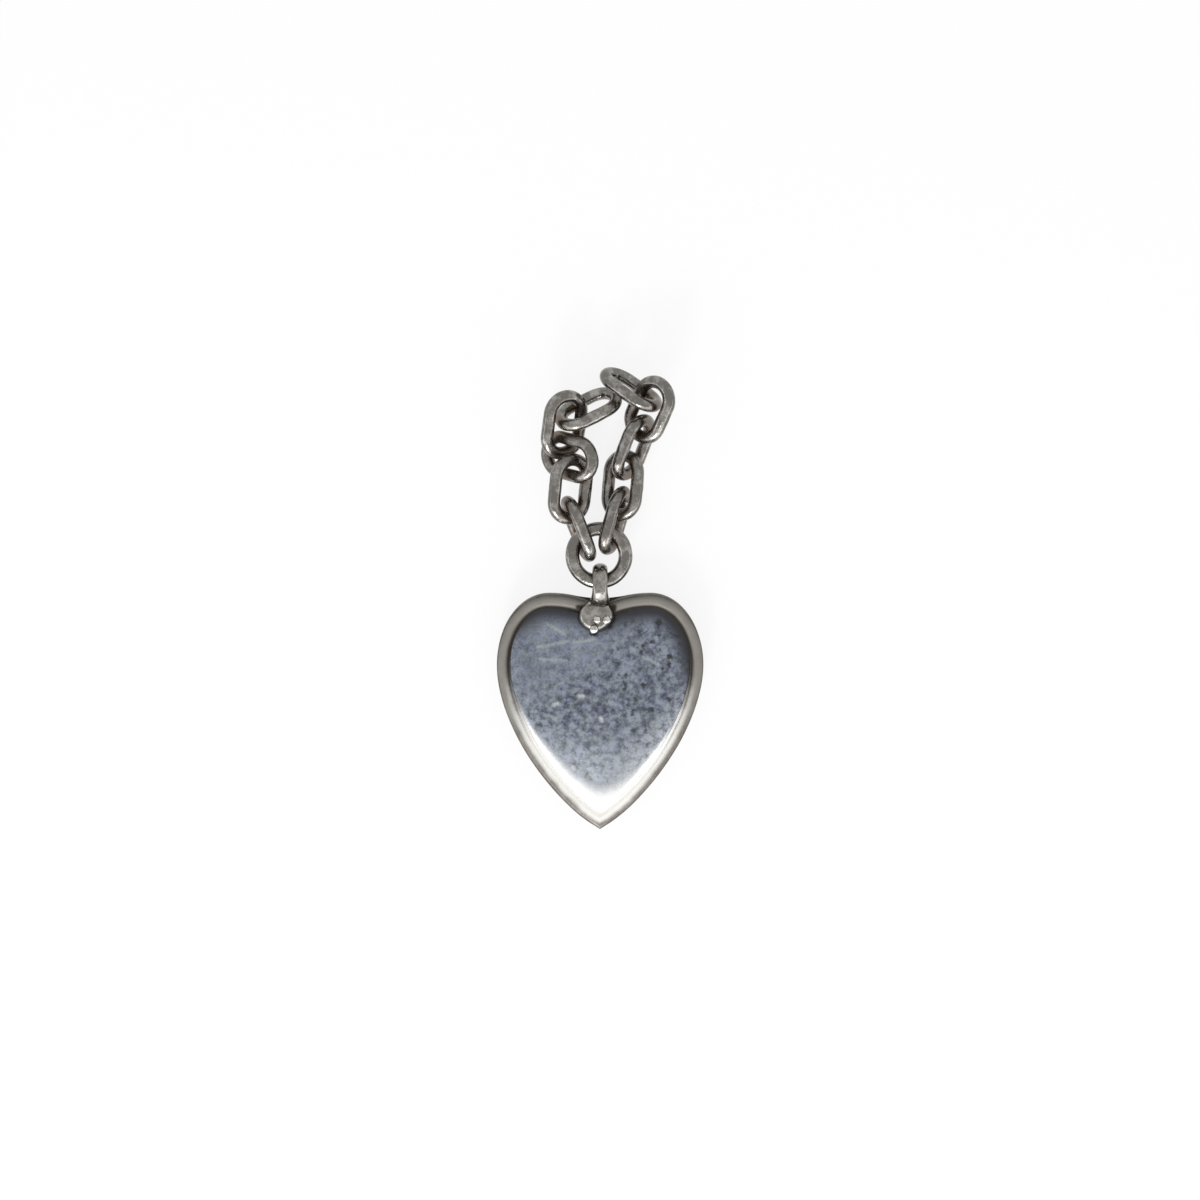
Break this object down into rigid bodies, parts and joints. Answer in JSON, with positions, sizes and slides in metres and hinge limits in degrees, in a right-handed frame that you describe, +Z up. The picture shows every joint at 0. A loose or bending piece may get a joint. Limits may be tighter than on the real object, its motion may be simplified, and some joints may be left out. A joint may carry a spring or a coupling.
{
  "type": "heart pendant",
  "caption": "Heart-shaped metal pendant with a domed polished face set in a rounded rim, hung from an eye on a short loop of cable chain.",
  "frame": {"origin": "middle of the heart's flat back, on the surface that it lies on", "axes": "+X across the heart, +Y from its tip toward the chain, +Z up from the flat back through the face"},
  "size_m": [0.0208, 0.0465, 0.0061],
  "materials": {
    "polished_face": "worn polished silver, mottled",
    "rim_silver": "worn satin silver",
    "chain_silver": "worn silver, dark in the crevices",
    "back_silver": "tarnished silver"
  },
  "bodies": {
    "heart": {"back_plate": "back_silver", "rim_band": "rim_silver", "bearing_strip": "back_silver", "face_plate": "polished_face", "eye_ring": "rim_silver", "eye_foot": "rim_silver", "foot_bead_1": "rim_silver", "foot_bead_2": "rim_silver", "foot_bead_3": "rim_silver"},
    "jump_ring": {"jump_ring": "chain_silver"},
    "left_link_1": {"left_link_1": "chain_silver"},
    "left_link_2": {"left_link_2": "chain_silver"},
    "left_link_3": {"left_link_3": "chain_silver"},
    "left_link_4": {"left_link_4": "chain_silver"},
    "left_link_5": {"left_link_5": "chain_silver"},
    "right_link_1": {"right_link_1": "chain_silver"},
    "right_link_2": {"right_link_2": "chain_silver"},
    "right_link_3": {"right_link_3": "chain_silver"},
    "right_link_4": {"right_link_4": "chain_silver"},
    "right_link_5": {"right_link_5": "chain_silver"}
  },
  "joints": [
    {"name": "jump_ring_swing", "type": "hinge", "parent": "heart", "child": "jump_ring", "pos_m": [0, 0.0146, 0.0027], "axis": [0, 0, 1], "range_deg": [-25, 25]},
    {"name": "left_link_1_swing", "type": "hinge", "parent": "jump_ring", "child": "left_link_1", "pos_m": [-0.00156, 0.01691, 0.0027], "axis": [0, 0, 1], "range_deg": [-2, 24]},
    {"name": "left_link_2_swing", "type": "hinge", "parent": "left_link_1", "child": "left_link_2", "pos_m": [-0.00309, 0.02113, 0.00365], "axis": [0, 0, 1], "range_deg": [-2, 30]},
    {"name": "left_link_3_swing", "type": "hinge", "parent": "left_link_2", "child": "left_link_3", "pos_m": [-0.00262, 0.02563, 0.00389], "axis": [0, 0, 1], "range_deg": [-4, 11]},
    {"name": "left_link_4_swing", "type": "hinge", "parent": "left_link_3", "child": "left_link_4", "pos_m": [-0.00397, 0.02594, 0.00277], "axis": [0, 0, 1], "range_deg": [-4, 12]},
    {"name": "left_link_5_swing", "type": "hinge", "parent": "left_link_4", "child": "left_link_5", "pos_m": [-0.0035, 0.0293, 0.00349], "axis": [0, 0, 1], "range_deg": [-9, 9]},
    {"name": "right_link_1_swing", "type": "hinge", "parent": "jump_ring", "child": "right_link_1", "pos_m": [0.00093, 0.01732, 0.0027], "axis": [0, 0, 1], "range_deg": [-40, 2]},
    {"name": "right_link_2_swing", "type": "hinge", "parent": "right_link_1", "child": "right_link_2", "pos_m": [0.00214, 0.02155, 0.00262], "axis": [0, 0, 1], "range_deg": [-30, 3]},
    {"name": "right_link_3_swing", "type": "hinge", "parent": "right_link_2", "child": "right_link_3", "pos_m": [0.00236, 0.02405, 0.00249], "axis": [0, 0, 1], "range_deg": [-28, 4]},
    {"name": "right_link_4_swing", "type": "hinge", "parent": "right_link_3", "child": "right_link_4", "pos_m": [0.00394, 0.02816, 0.00319], "axis": [0, 0, 1], "range_deg": [-15, 11]},
    {"name": "right_link_5_swing", "type": "hinge", "parent": "right_link_4", "child": "right_link_5", "pos_m": [0.00513, 0.03095, 0.00423], "axis": [0, 0, 1], "range_deg": [-30, 9]}
  ]
}
